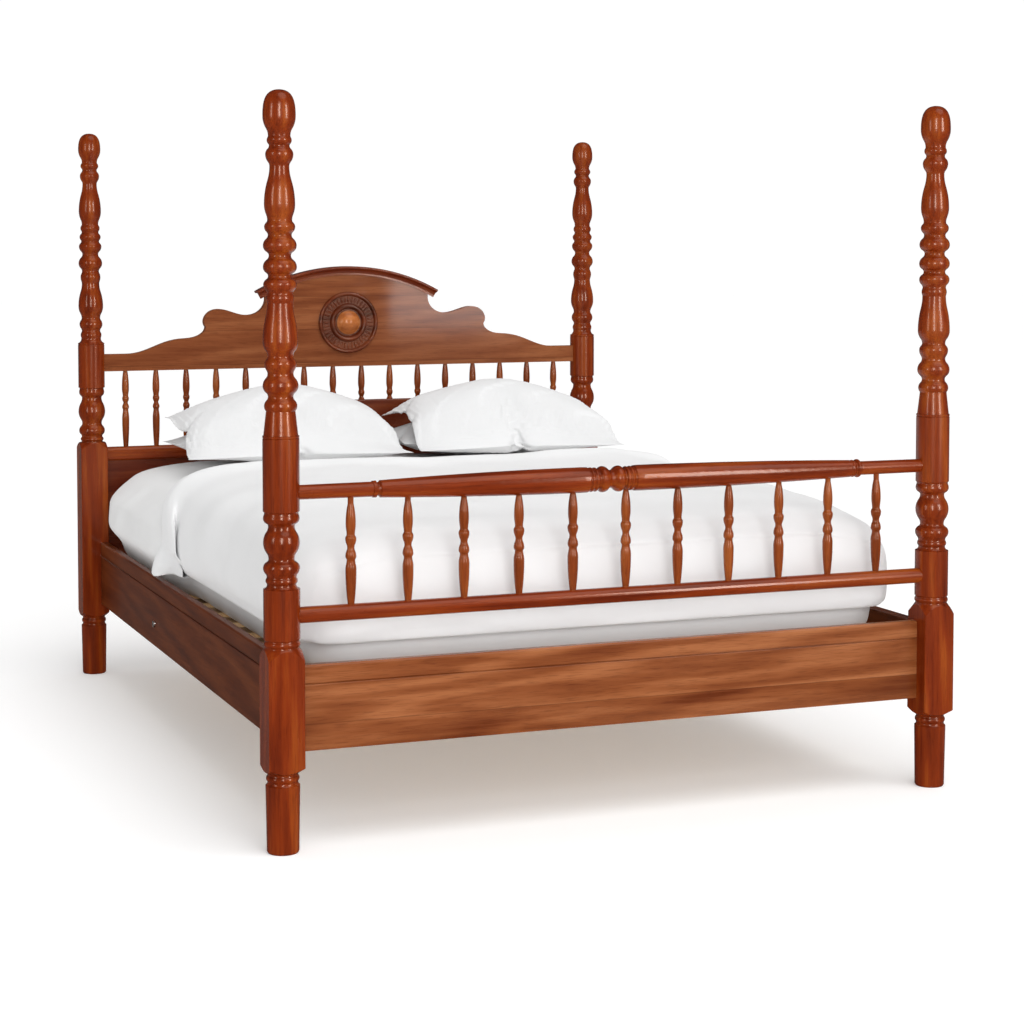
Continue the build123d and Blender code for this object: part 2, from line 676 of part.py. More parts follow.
for number in range(1, HEAD_SPINDLES + 1):
    x = (number - (HEAD_SPINDLES + 1) / 2) * HEAD_SPINDLE_PITCH
    finish(turned_upright(x, POST_Y, HEAD_SPINDLE), f"head_spindle_{number:02d}")


# ---- bed base ----
with BuildPart() as rail_cleats:
    with Locations((0, 0, SLAT_BOTTOM_Z - CLEAT_H / 2)):
        with GridLocations(2 * (CLEAR_X - CLEAT_W / 2), 1, 2, 1):
            Box(CLEAT_W, CLEAT_LENGTH, CLEAT_H)
finish(rail_cleats, "rail_cleats")

with BuildPart() as slats:
    with BuildSketch(Plane.XY.offset(SLAT_BOTTOM_Z)):
        with GridLocations(1, SLAT_PITCH, 1, SLAT_COUNT):
            RectangleRounded(2 * CLEAR_X - 6, SLAT_W, 6)
    extrude(amount=SLAT_T)
finish(slats, "slats")

with BuildPart() as cross_bearer:
    with Locations((0, BEARER_Y, SLAT_BOTTOM_Z - BEARER_H / 2)):
        Box(2 * CLEAR_X, BEARER_T, BEARER_H)
    for side in (-1, 1):
        end_x = side * CLEAR_X
        with Locations((end_x - side * CLEAT_W / 2, BEARER_Y, SLAT_BOTTOM_Z - CLEAT_H / 2)):
            Box(CLEAT_W, BEARER_T, CLEAT_H, mode=Mode.SUBTRACT)
        bolt_inside = BOLT_LENGTH - RAIL_T
        with Locations((end_x - side * bolt_inside / 2, BEARER_Y, BOLT_Z)):
            Cylinder(BOLT_R, bolt_inside, rotation=(0, 90, 0), mode=Mode.SUBTRACT)
        with Locations((end_x - side * NUT_INSET, BEARER_Y, BOLT_Z)):
            Cylinder(NUT_R, NUT_LENGTH, rotation=(90, 0, 0), mode=Mode.SUBTRACT)
finish(cross_bearer, "cross_bearer")

with BuildPart() as bearer_bolts:
    for side in (-1, 1):
        face_x = side * (CLEAR_X + RAIL_T)
        with Locations((face_x - side * BOLT_LENGTH / 2, BEARER_Y, BOLT_Z)):
            Cylinder(BOLT_R, BOLT_LENGTH, rotation=(0, 90, 0))
        with Locations((face_x + side * BOLT_HEAD_H / 2, BEARER_Y, BOLT_Z)):
            Cylinder(BOLT_HEAD_R, BOLT_HEAD_H, rotation=(0, 90, 0))
        rim = edges().filter_by(GeomType.CIRCLE).sort_by(Axis.X)
        chamfer(rim[-1] if side > 0 else rim[0], 1)
        socket_plane = Plane(origin=(face_x + side * BOLT_HEAD_H, BEARER_Y, BOLT_Z), z_dir=(side, 0, 0))
        with BuildSketch(socket_plane):
            RegularPolygon(HEX_ACROSS / 2, 6, major_radius=False)
        extrude(amount=-3, mode=Mode.SUBTRACT)
finish(bearer_bolts, "bearer_bolts")

with BuildPart() as bearer_nuts:
    for side in (-1, 1):
        with Locations((side * (CLEAR_X - NUT_INSET), BEARER_Y, BOLT_Z)):
            Cylinder(NUT_R, NUT_LENGTH, rotation=(90, 0, 0))
            Cylinder(BOLT_R, 2 * NUT_R, rotation=(0, 90, 0), mode=Mode.SUBTRACT)
finish(bearer_nuts, "bearer_nuts")

with BuildPart() as rail_hooks:
    for side in (-1, 1):
        for end in (-1, 1):
            hook_origin = (side * RAIL_X - HOOK_T / 2, end * CLEAR_Y, RAIL_MID_Z)
            hook_plane = Plane(origin=hook_origin, x_dir=(0, 1, 0), z_dir=(1, 0, 0))
            with BuildSketch(hook_plane):
                with Locations((-end * HOOK_PLATE_L / 2, 0)):
                    Rectangle(HOOK_PLATE_L, HOOK_PLATE_H)
                for drop in (-HOOK_PITCH / 2, HOOK_PITCH / 2):
                    with Locations((end * HOOK_REACH / 2, drop + 4)):
                        Rectangle(HOOK_REACH, 30)
                    with Locations((end * (HOOK_REACH / 2 + 2), drop - 6)):
                        Rectangle(2 * PIN_R + 0.4, 12 + 2 * PIN_R + 0.4, mode=Mode.SUBTRACT)
            extrude(amount=HOOK_T)
finish(rail_hooks, "rail_hooks")

with BuildPart() as hook_pins:
    for side in (-1, 1):
        for end in (-1, 1):
            with Locations(*hook_pin_places(side, end)):
                Cylinder(PIN_R, PIN_LENGTH, rotation=(0, 90, 0))
finish(hook_pins, "hook_pins")


# ---- bedding ----
with BuildPart() as mattress:
    with BuildSketch(Plane.XY.offset(SLAT_TOP_Z)):
        RectangleRounded(MATTRESS_W, MATTRESS_L, MATTRESS_CORNER_R)
    extrude(amount=MATTRESS_TOP_Z - SLAT_TOP_Z)
    fillet(faces().sort_by(Axis.Z)[-1].edges(), MATTRESS_EDGE_R)
finish(mattress, "mattress")

with BuildPart() as duvet:
    reach_back = 400.0  # drawn past its head edge, then cut off square
    duvet_length = DUVET_HEAD_Y + reach_back - DUVET_FOOT_Y
    with BuildSketch(Plane.XY.offset(DUVET_HEM_Z)):
        with Locations((0, DUVET_FOOT_Y + duvet_length / 2)):
            RectangleRounded(DUVET_W, duvet_length, MATTRESS_CORNER_R + SOFT_GAP)
    extrude(amount=DUVET_TOP_Z - DUVET_HEM_Z)
    fillet(faces().sort_by(Axis.Z)[-1].edges(), DUVET_EDGE_R)
    with Locations((0, DUVET_HEAD_Y + reach_back, DUVET_TOP_Z)):
        Box(2 * DUVET_W, 2 * reach_back, DUVET_TOP_Z, mode=Mode.SUBTRACT)
    # the turned-back band across the head end
    with BuildSketch(Plane.XZ.offset(-DUVET_HEAD_Y)):
        with Locations((0, (FOLD_TOP_Z + DUVET_HEM_Z) / 2)):
            Rectangle(FOLD_W, FOLD_TOP_Z - DUVET_HEM_Z)
        fillet(vertices().group_by(Axis.Y)[-1], FOLD_CORNER_R)
    extrude(amount=DUVET_HEAD_Y - FOLD_Y)
    # hollowed for the mattress
    with BuildSketch(Plane.XY.offset(SLAT_TOP_Z), mode=Mode.PRIVATE) as hollow:
        RectangleRounded(MATTRESS_W + 2 * SOFT_GAP, MATTRESS_L + 2 * SOFT_GAP, MATTRESS_CORNER_R)
    hollow_part = extrude(hollow.sketch, amount=PILLOW_BOTTOM_Z - SLAT_TOP_Z, mode=Mode.PRIVATE)
    hollow_edges = hollow_part.faces().sort_by(Axis.Z)[-1].edges()
    add(hollow_part.fillet(MATTRESS_EDGE_R, hollow_edges), mode=Mode.SUBTRACT)
finish(duvet, "duvet")

LOWER_PILLOW = [
    (600, PILLOW_BOTTOM_Z),
    (600, 682),
    (700, 750),
    (880, 790),
    (PILLOW_BACK_Y, 760),
    (PILLOW_BACK_Y, PILLOW_BOTTOM_Z),
]
UPPER_PILLOW = [
    (475, PILLOW_BOTTOM_Z),
    (475, 682),
    (570, 766),
    (720, 832),
    (880, 838),
    (945, 812),
    (945, 794),
    (879, 793),
    (697, 753),
    (596, 684),
    (596, PILLOW_BOTTOM_Z),
]


def pillow(left_x, right_x, side_view):
    """A pillow as one closed block, drawn from the side and drawn out across the bed."""
    with BuildPart() as block:
        with BuildSketch(Plane(origin=(left_x, 0, 0), x_dir=(0, 1, 0), z_dir=(1, 0, 0))):
            with BuildLine():
                Polyline(*side_view, close=True)
            make_face()
        extrude(amount=right_x - left_x)
    return block


finish(pillow(-600, 20, LOWER_PILLOW), "pillow_left_lower")
finish(pillow(-635, 35, UPPER_PILLOW), "pillow_left_upper")
finish(pillow(45, 700, LOWER_PILLOW), "pillow_right_lower")
finish(pillow(60, 715, UPPER_PILLOW), "pillow_right_upper")
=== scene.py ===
import math

import bmesh
import bpy
import numpy as np
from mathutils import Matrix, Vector, noise


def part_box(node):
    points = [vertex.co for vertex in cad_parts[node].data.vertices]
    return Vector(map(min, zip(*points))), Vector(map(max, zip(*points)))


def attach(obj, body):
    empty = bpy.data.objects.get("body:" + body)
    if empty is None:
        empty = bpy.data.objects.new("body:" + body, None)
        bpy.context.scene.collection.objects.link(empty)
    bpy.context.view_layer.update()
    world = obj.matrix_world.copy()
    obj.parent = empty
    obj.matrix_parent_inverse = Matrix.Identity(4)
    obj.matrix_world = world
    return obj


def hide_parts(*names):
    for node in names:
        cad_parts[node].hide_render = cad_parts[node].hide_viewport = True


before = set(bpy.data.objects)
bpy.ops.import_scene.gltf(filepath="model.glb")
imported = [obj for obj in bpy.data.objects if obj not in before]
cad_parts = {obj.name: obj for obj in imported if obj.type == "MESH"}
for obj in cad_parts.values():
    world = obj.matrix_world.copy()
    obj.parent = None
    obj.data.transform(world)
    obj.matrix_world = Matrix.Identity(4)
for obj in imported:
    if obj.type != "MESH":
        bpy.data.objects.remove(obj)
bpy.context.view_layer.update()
scene = bpy.context.scene

# Camera, floor and studio light.
# The bed stands on a pale floor between tall softboxes, whose strips show in the varnish.
# A wide soft sun and the white room fill the shadows.
scene.view_settings.view_transform = "Standard"
camera_lens = bpy.data.cameras.new("camera")
camera_lens.lens = 77.9
camera_lens.shift_y = -0.15
camera = bpy.data.objects.new("camera", camera_lens)
camera.location = (-2.040, -5.543, 1.299)
camera.rotation_euler = (math.radians(90 - 3.09), 0, math.radians(-21.46))
scene.collection.objects.link(camera)
scene.camera = camera

FLOOR_HALF = 40.0
floor_mesh = bpy.data.meshes.new("studio_floor")
floor_corners = [(-FLOOR_HALF, -FLOOR_HALF, 0), (FLOOR_HALF, -FLOOR_HALF, 0)]
floor_corners += [(FLOOR_HALF, FLOOR_HALF, 0), (-FLOOR_HALF, FLOOR_HALF, 0)]
floor_mesh.from_pydata(floor_corners, [], [(0, 1, 2, 3)])
studio_floor = bpy.data.objects.new("studio_floor", floor_mesh)
scene.collection.objects.link(studio_floor)
floor_paint = bpy.data.materials.new("white_floor_paint")
floor_paint.use_nodes = True
floor_shader = floor_paint.node_tree.nodes["Principled BSDF"]
floor_shader.inputs["Base Color"].default_value = (0.88, 0.88, 0.88, 1)
floor_shader.inputs["Roughness"].default_value = 0.9
floor_shader.inputs["Specular IOR Level"].default_value = 0.1
floor_shader.inputs["Emission Color"].default_value = (1, 1, 1, 1)
floor_shader.inputs["Emission Strength"].default_value = 0.20
floor_in_varnish = floor_paint.node_tree.nodes.new("ShaderNodeBsdfDiffuse")
floor_in_varnish.inputs["Color"].default_value = (0.16, 0.14, 0.13, 1)
floor_ray = floor_paint.node_tree.nodes.new("ShaderNodeLightPath")
floor_mix = floor_paint.node_tree.nodes.new("ShaderNodeMixShader")
floor_output = floor_paint.node_tree.nodes["Material Output"]
floor_paint.node_tree.links.new(floor_ray.outputs["Is Glossy Ray"], floor_mix.inputs[0])
floor_paint.node_tree.links.new(floor_shader.outputs[0], floor_mix.inputs[1])
floor_paint.node_tree.links.new(floor_in_varnish.outputs[0], floor_mix.inputs[2])
floor_paint.node_tree.links.new(floor_mix.outputs[0], floor_output.inputs["Surface"])
floor_mesh.materials.append(floor_paint)

ROOM_STRENGTH = 0.62
SEEN_WHITER = 0.40
DARKER_IN_VARNISH = 0.56
studio = bpy.data.worlds.new("white_studio")
scene.world = studio
studio.use_nodes = True
room = studio.node_tree
room_light = room.nodes["Background"]
room_light.inputs["Color"].default_value = (1.0, 1.0, 1.0, 1)
ray = room.nodes.new("ShaderNodeLightPath")
seen = room.nodes.new("ShaderNodeMath")
seen.operation = "MULTIPLY_ADD"
seen.inputs[1].default_value = SEEN_WHITER
seen.inputs[2].default_value = ROOM_STRENGTH
room.links.new(ray.outputs["Is Camera Ray"], seen.inputs[0])
dark_reflection = room.nodes.new("ShaderNodeMath")
dark_reflection.operation = "MULTIPLY_ADD"
dark_reflection.inputs[1].default_value = -DARKER_IN_VARNISH
room.links.new(ray.outputs["Is Glossy Ray"], dark_reflection.inputs[0])
room.links.new(seen.outputs[0], dark_reflection.inputs[2])
room.links.new(dark_reflection.outputs[0], room_light.inputs["Strength"])

sun_light = bpy.data.lights.new("soft_sun", "SUN")
sun_light.energy = 1.20
sun_light.angle = math.radians(50)
sun = bpy.data.objects.new("soft_sun", sun_light)
sun.rotation_euler = (math.radians(24), math.radians(14), 0)
scene.collection.objects.link(sun)


BED_MIDDLE = Vector((0, 0, 0.9))


def softbox(name, degrees_from_camera, distance, width, height, middle_z, power, only_gloss=True):
    """A tall soft light, turned round the bed's middle from the camera's direction."""
    light = bpy.data.lights.new(name, "AREA")
    light.shape = "RECTANGLE"
    light.size = width
    light.size_y = height
    light.energy = power
    bearing = math.atan2(camera.location.y, camera.location.x) + math.radians(degrees_from_camera)
    box = bpy.data.objects.new(name, light)
    box.location = (distance * math.cos(bearing), distance * math.sin(bearing), middle_z)
    box.rotation_euler = (BED_MIDDLE - box.location).to_track_quat("-Z", "Y").to_euler()
    box.visible_diffuse = not only_gloss
    box.visible_glossy = only_gloss
    scene.collection.objects.link(box)


softbox("softbox_front", 2, 6.4, 0.8, 2.8, 2.3, 190)
softbox("softbox_right", 46, 6.2, 0.9, 2.8, 2.1, 200)
softbox("softbox_left", -44, 6.4, 0.6, 2.6, 2.2, 80)
softbox("front_fill", 14, 6.5, 3.0, 3.0, 2.6, 135, only_gloss=False)


# The varnished hardwood of the posts.
# Each post is turned in two lengths from square stock, with the block left square where the
# rails are let in, then stained red-brown and finished in gloss varnish.
def linked(tree, kind, **values):
    """A new node with its settings, and its input sockets filled or linked by name."""
    node = tree.nodes.new(kind)
    for key, value in values.items():
        if key.startswith("set_"):
            setattr(node, key[4:], value)
            continue
        socket = node.inputs[int(key[1:])] if key[0] == "i" and key[1:].isdigit() else node.inputs[key]
        if isinstance(value, bpy.types.NodeSocket):
            tree.links.new(value, socket)
        else:
            socket.default_value = value
    return node


def colour_steps(tree, factor, steps):
    """A colour ramp over (position, colour) steps."""
    ramp = linked(tree, "ShaderNodeValToRGB", Fac=factor)
    bands = ramp.color_ramp.elements
    while len(bands) < len(steps):
        bands.new(0.5)
    for band, (position, colour) in zip(bands, steps):
        band.position = position
        band.color = (*colour, 1)
    return ramp.outputs["Color"]


def multiplied(tree, amount, under, over):
    """One colour multiplied by another, by that amount."""
    mix = linked(
        tree, "ShaderNodeMix", set_data_type="RGBA", set_blend_type="MULTIPLY", i0=amount, i6=under, i7=over
    )
    return mix.outputs[2]


def varnished_wood(name, along, dark, mid, light, figure=1.0, board=None, gloss=0.16, knot=None, shine=0.30):
    """Stained and varnished hardwood with its grain along X, Y or Z. board is (axis, width):
    boards of that width glued side by side across that axis."""
    wood = bpy.data.materials.new(name)
    wood.use_nodes = True
    tree = wood.node_tree
    shader = tree.nodes["Principled BSDF"]
    place = tree.nodes.new("ShaderNodeTexCoord").outputs["Object"]
    turn = {"X": (0, math.radians(90), 0), "Y": (math.radians(90), 0, 0), "Z": (0, 0, 0)}[along]
    grain = linked(tree, "ShaderNodeMapping", Vector=place, Rotation=turn).outputs["Vector"]
    tone_shift = None
    if board is not None:
        split = linked(tree, "ShaderNodeSeparateXYZ", Vector=place)
        strip = linked(
            tree, "ShaderNodeMath", set_operation="DIVIDE", i0=split.outputs[board[0]], i1=board[1]
        )
        number = linked(tree, "ShaderNodeMath", set_operation="FLOOR", i0=strip.outputs[0])
        chance = linked(tree, "ShaderNodeTexWhiteNoise", set_noise_dimensions="1D", W=number.outputs[0])
        tone_shift = chance.outputs["Value"]
        slide = linked(tree, "ShaderNodeVectorMath", set_operation="SCALE", i0=chance.outputs["Color"])
        slide.inputs["Scale"].default_value = 3.0
        grain = linked(
            tree, "ShaderNodeVectorMath", set_operation="ADD", i0=grain, i1=slide.outputs[0]
        ).outputs[0]
        edge = linked(tree, "ShaderNodeMath", set_operation="FRACT", i0=strip.outputs[0])
        edge = linked(tree, "ShaderNodeMath", set_operation="PINGPONG", i0=edge.outputs[0], i1=0.5)
        joint = linked(
            tree,
            "ShaderNodeMapRange",
            Value=edge.outputs[0],
            **{"From Min": 0.0, "From Max": 0.0012 / board[1], "To Min": 0.55, "To Max": 1.0},
        ).outputs["Result"]

    def stretched(scale, squeeze, detail, distortion=0.0):
        lane = linked(tree, "ShaderNodeMapping", Vector=grain, Scale=(1, 1, squeeze))
        return linked(
            tree,
            "ShaderNodeTexNoise",
            Vector=lane.outputs["Vector"],
            Scale=scale,
            Detail=detail,
            Distortion=distortion,
        ).outputs["Fac"]

    broad = stretched(9.0, 0.16, 3.0, 0.6)
    streaks = stretched(75.0, 0.05, 4.0, 0.2)
    pores = stretched(520.0, 0.04, 2.0)
    lane = linked(tree, "ShaderNodeMapping", Vector=grain, Scale=(1, 1, 0.12))
    rings = linked(
        tree,
        "ShaderNodeTexWave",
        set_wave_type="BANDS",
        set_bands_direction="DIAGONAL",
        Vector=lane.outputs["Vector"],
        Scale=9.0,
        Distortion=7.0,
        Detail=2.5,
        **{"Detail Scale": 1.6},
    ).outputs["Fac"]
    shares = [(broad, 0.50 * figure), (rings, 0.16 * figure), (streaks, 0.40)]
    tone = 0.5 - sum(share for _, share in shares) / 2
    for pattern, share in shares:
        tone = linked(
            tree, "ShaderNodeMath", set_operation="MULTIPLY_ADD", i0=pattern, i1=share, i2=tone
        ).outputs[0]
    if tone_shift is not None:
        tone = linked(
            tree, "ShaderNodeMath", set_operation="MULTIPLY_ADD", i0=tone_shift, i1=0.16, i2=tone
        ).outputs[0]
        tone = linked(tree, "ShaderNodeMath", set_operation="ADD", i0=tone, i1=-0.08).outputs[0]
    colour = colour_steps(tree, tone, [(0.28, dark), (0.50, mid), (0.74, light)])
    flecks = colour_steps(tree, pores, [(0.36, (0.55, 0.5, 0.5)), (0.46, (1, 1, 1))])
    colour = multiplied(tree, 0.5, colour, flecks)
    if board is not None:
        colour = multiplied(tree, 1.0, colour, joint)
    if knot is not None:
        far = linked(tree, "ShaderNodeVectorMath", set_operation="SUBTRACT", i0=place, i1=knot)
        far = linked(
            tree, "ShaderNodeVectorMath", set_operation="MULTIPLY", i0=far.outputs[0], i1=(1, 1, 0.55)
        )
        far = linked(tree, "ShaderNodeVectorMath", set_operation="LENGTH", i0=far.outputs[0])
        far = linked(tree, "ShaderNodeMath", set_operation="MULTIPLY", i0=far.outputs["Value"], i1=30.0)
        knot_steps = [(0.10, (0.16, 0.10, 0.07)), (0.19, (0.62, 0.5, 0.42))]
        knot_steps += [(0.27, (0.36, 0.26, 0.2)), (0.42, (1, 1, 1))]
        heart = colour_steps(tree, far.outputs[0], knot_steps)
        colour = multiplied(tree, 1.0, colour, heart)
    # Painted shade: the colour is darkened in creases and recesses found by ambient occlusion; on the stained
    # parts it also stands for stain pooled in the coves.
    creases = linked(
        tree, "ShaderNodeAmbientOcclusion", set_samples=6, set_only_local=True, Distance=0.022
    ).outputs["AO"]
    painted_crease_shade = colour_steps(tree, creases, [(0.25, (0.34, 0.22, 0.16)), (0.85, (1, 1, 1))])
    colour = multiplied(tree, 0.8, colour, painted_crease_shade)
    tree.links.new(colour, shader.inputs["Base Color"])
    worn = linked(
        tree,
        "ShaderNodeMapRange",
        Value=broad,
        **{"From Min": 0.3, "From Max": 0.7, "To Min": gloss + 0.04, "To Max": gloss + 0.16},
    ).outputs["Result"]
    tree.links.new(worn, shader.inputs["Roughness"])
    shader.inputs["Specular IOR Level"].default_value = shine
    shader.inputs["Specular Tint"].default_value = (1.0, 0.66, 0.48, 1)
    shader.inputs["Coat Weight"].default_value = 0.14
    shader.inputs["Coat Roughness"].default_value = 0.08
    ripple = linked(tree, "ShaderNodeBump", Strength=0.10, Distance=0.0006, Height=pores)
    tree.links.new(ripple.outputs["Normal"], shader.inputs["Normal"])
    return wood


def finish_nodes(names, material):
    for node in names:
        for place_in_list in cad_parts[node].material_slots:
            place_in_list.material = material


DEEP = (0.075, 0.0055, 0.0010)
RED_BROWN = (0.200, 0.024, 0.0022)
AMBER = (0.37, 0.082, 0.008)
post_wood = varnished_wood("post_varnish", "Z", DEEP, RED_BROWN, AMBER, 0.6, knot=(-0.826, -1.086, 0.628))
POSTS = ["front_left_post", "front_left_post_top", "front_right_post", "front_right_post_top"]
POSTS += ["back_left_post", "back_left_post_top", "back_right_post", "back_right_post_top"]
finish_nodes(POSTS, post_wood)

# Side rails and foot board.
# Long boards let into the post blocks; a scratched line runs below the top edge of each rail.
# The foot board is glued up from two widths, and its figure shows through the stain.
SIDE_DARK = (0.070, 0.011, 0.002)
SIDE_MID = (0.130, 0.026, 0.005)
SIDE_LIGHT = (0.20, 0.05, 0.012)
side_wood = varnished_wood(
    "side_rail_varnish", "Y", SIDE_DARK, SIDE_MID, SIDE_LIGHT, 0.8, gloss=0.3, shine=0.12
)
finish_nodes(["side_rail_left", "side_rail_right"], side_wood)
foot_wood = varnished_wood(
    "foot_board_varnish",
    "X",
    (0.115, 0.022, 0.005),
    (0.225, 0.062, 0.018),
    (0.36, 0.125, 0.045),
    1.15,
    board=("Z", 0.1345),
    gloss=0.14,
)
finish_nodes(["foot_board"], foot_wood)
rail_wood = varnished_wood("turned_rail_varnish", "X", DEEP, RED_BROWN, AMBER, 0.6)
finish_nodes(["foot_top_rail", "foot_lower_rail", "headboard_rail"], rail_wood)

# Headboard boards and the bent moulding over the arch.
# The panel is glued from wide boards and cut to its curves; the moulding is stained darker.
panel_wood = varnished_wood(
    "headboard_varnish",
    "X",
    (0.125, 0.027, 0.008),
    (0.225, 0.064, 0.022),
    (0.33, 0.115, 0.044),
    0.8,
    board=("Z", 0.102),
    gloss=0.34,
    shine=0.05,
)
finish_nodes(["headboard_panel"], panel_wood)
low_board_wood = varnished_wood("low_board_varnish", "X", DEEP, (0.12, 0.018, 0.006), (0.2, 0.045, 0.014))
finish_nodes(["headboard_board", "headboard_slip"], low_board_wood)
crest_wood = varnished_wood("crest_varnish", "X", DEEP, (0.135, 0.016, 0.003), (0.27, 0.055, 0.012), 0.5)
finish_nodes(["crest_moulding"], crest_wood)

# Medallion: a turned ring with carved flutes round a half-round boss, planted on the panel.
# The flutes are cut between the two beads of the ring, all alike and evenly spaced.
ring_wood = varnished_wood(
    "ring_varnish", "X", (0.03, 0.005, 0.0015), (0.11, 0.018, 0.005), (0.2, 0.045, 0.014)
)
boss_wood = varnished_wood(
    "boss_varnish", "X", (0.22, 0.05, 0.012), (0.46, 0.14, 0.036), (0.64, 0.26, 0.09), 0.8
)
finish_nodes(["medallion_ring"], ring_wood)
finish_nodes(["medallion_boss"], boss_wood)
FLUTES = 40
FLUTE_MID_R = 0.0712
FLUTE_LENGTH = 0.0205
FLUTE_WIDTH = 0.0068
FLUTE_HEIGHT = 0.0062
FLUTE_DEPTH_IN_RING = 0.0098


def carved_flutes():
    """Flutes as long beads set out on a circle, in the plane of the headboard."""
    tree = bpy.data.node_groups.new("carved_flutes", "GeometryNodeTree")
    tree.interface.new_socket("Geometry", in_out="OUTPUT", socket_type="NodeSocketGeometry")
    wanted = [("Flutes", "NodeSocketInt"), ("Circle radius", "NodeSocketFloat")]
    wanted += [("Flute size", "NodeSocketVector"), ("Medallion centre", "NodeSocketVector")]
    for label, kind in wanted:
        tree.interface.new_socket(label, in_out="INPUT", socket_type=kind)
    given = tree.nodes.new("NodeGroupInput").outputs
    circle = linked(tree, "GeometryNodeMeshCircle", Vertices=given["Flutes"], Radius=given["Circle radius"])
    bead = linked(tree, "GeometryNodeMeshUVSphere", Segments=10, Rings=7, Radius=0.5)
    where = tree.nodes.new("GeometryNodeInputPosition")
    outward = linked(
        tree, "FunctionNodeAlignRotationToVector", set_axis="X", set_pivot_axis="Z", Vector=where.outputs[0]
    )
    flutes = linked(
        tree,
        "GeometryNodeInstanceOnPoints",
        Points=circle.outputs["Mesh"],
        Instance=bead.outputs["Mesh"],
        Rotation=outward.outputs["Rotation"],
        Scale=given["Flute size"],
    )
    placed = linked(
        tree,
        "GeometryNodeTransform",
        Geometry=flutes.outputs["Instances"],
        Translation=given["Medallion centre"],
        Rotation=(math.radians(90), 0, 0),
    )
    real = linked(tree, "GeometryNodeRealizeInstances", Geometry=placed.outputs["Geometry"])
    stained = linked(tree, "GeometryNodeSetMaterial", Geometry=real.outputs["Geometry"], Material=ring_wood)
    out = tree.nodes.new("NodeGroupOutput")
    tree.links.new(stained.outputs["Geometry"], out.inputs["Geometry"])
    return tree


def grown(name, tree, **values):
    """A plain mesh object from a Geometry Nodes tree, with the tree's inputs set by name."""
    host = bpy.data.objects.new(name, bpy.data.meshes.new(name))
    scene.collection.objects.link(host)
    modifier = host.modifiers.new("made", "NODES")
    modifier.node_group = tree
    for item in tree.interface.items_tree:
        if item.in_out == "INPUT" and item.name in values:
            modifier[item.identifier] = values[item.name]
    bpy.context.view_layer.update()
    made = bpy.data.meshes.new_from_object(host.evaluated_get(bpy.context.evaluated_depsgraph_get()))
    host.modifiers.clear()
    host.data = made
    made.shade_smooth()
    return host


ring_low, ring_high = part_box("medallion_ring")
flute_y = ring_low.y + FLUTE_DEPTH_IN_RING
flutes = grown(
    "medallion_flutes",
    carved_flutes(),
    **{
        "Flutes": FLUTES,
        "Circle radius": FLUTE_MID_R,
        "Flute size": (FLUTE_LENGTH, FLUTE_WIDTH, FLUTE_HEIGHT),
        "Medallion centre": (
            (ring_low.x + ring_high.x) / 2,
            flute_y,
            (ring_low.z + ring_high.z) / 2,
        ),
    },
)
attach(flutes, "frame")

# Spindles of the headboard and the foot.
# Small turnings with a bead at the middle, their pins glued into the rails above and below.
spindle_wood = varnished_wood(
    "spindle_varnish", "Z", (0.075, 0.011, 0.002), (0.22, 0.04, 0.006), (0.42, 0.12, 0.022), 0.5
)
SPINDLES = [f"foot_spindle_{n:02d}" for n in range(1, 12)] + [f"head_spindle_{n:02d}" for n in range(1, 17)]
finish_nodes(SPINDLES, spindle_wood)

# Slatted base: pine cleats, slats and a cross bearer held by two zinc bolts.
# The pine is left unfinished, and the bolts' heads show on the rails' outer faces.
pine = varnished_wood("bare_pine", "X", (0.42, 0.24, 0.11), (0.62, 0.42, 0.22), (0.72, 0.53, 0.32), gloss=0.5)
pine.node_tree.nodes["Principled BSDF"].inputs["Coat Weight"].default_value = 0.0
finish_nodes(["slats", "cross_bearer", "rail_cleats"], pine)


def plain_metal(name, colour, rough, grain_scale):
    metal = bpy.data.materials.new(name)
    metal.use_nodes = True
    tree = metal.node_tree
    shader = tree.nodes["Principled BSDF"]
    place = tree.nodes.new("ShaderNodeTexCoord").outputs["Object"]
    scuff = linked(tree, "ShaderNodeTexNoise", Vector=place, Scale=grain_scale, Detail=4.0).outputs["Fac"]
    shade = colour_steps(tree, scuff, [(0.3, tuple(0.72 * c for c in colour)), (0.7, colour)])
    tree.links.new(shade, shader.inputs["Base Color"])
    shader.inputs["Metallic"].default_value = 1.0
    worn = linked(
        tree,
        "ShaderNodeMapRange",
        Value=scuff,
        **{"From Min": 0.3, "From Max": 0.7, "To Min": rough, "To Max": rough + 0.15},
    )
    tree.links.new(worn.outputs["Result"], shader.inputs["Roughness"])
    return metal


zinc = plain_metal("zinc_plate", (0.72, 0.72, 0.70), 0.22, 180.0)
steel = plain_metal("mild_steel", (0.45, 0.44, 0.43), 0.38, 90.0)
finish_nodes(["bearer_bolts", "bearer_nuts"], zinc)
finish_nodes(["rail_hooks", "hook_pins"], steel)


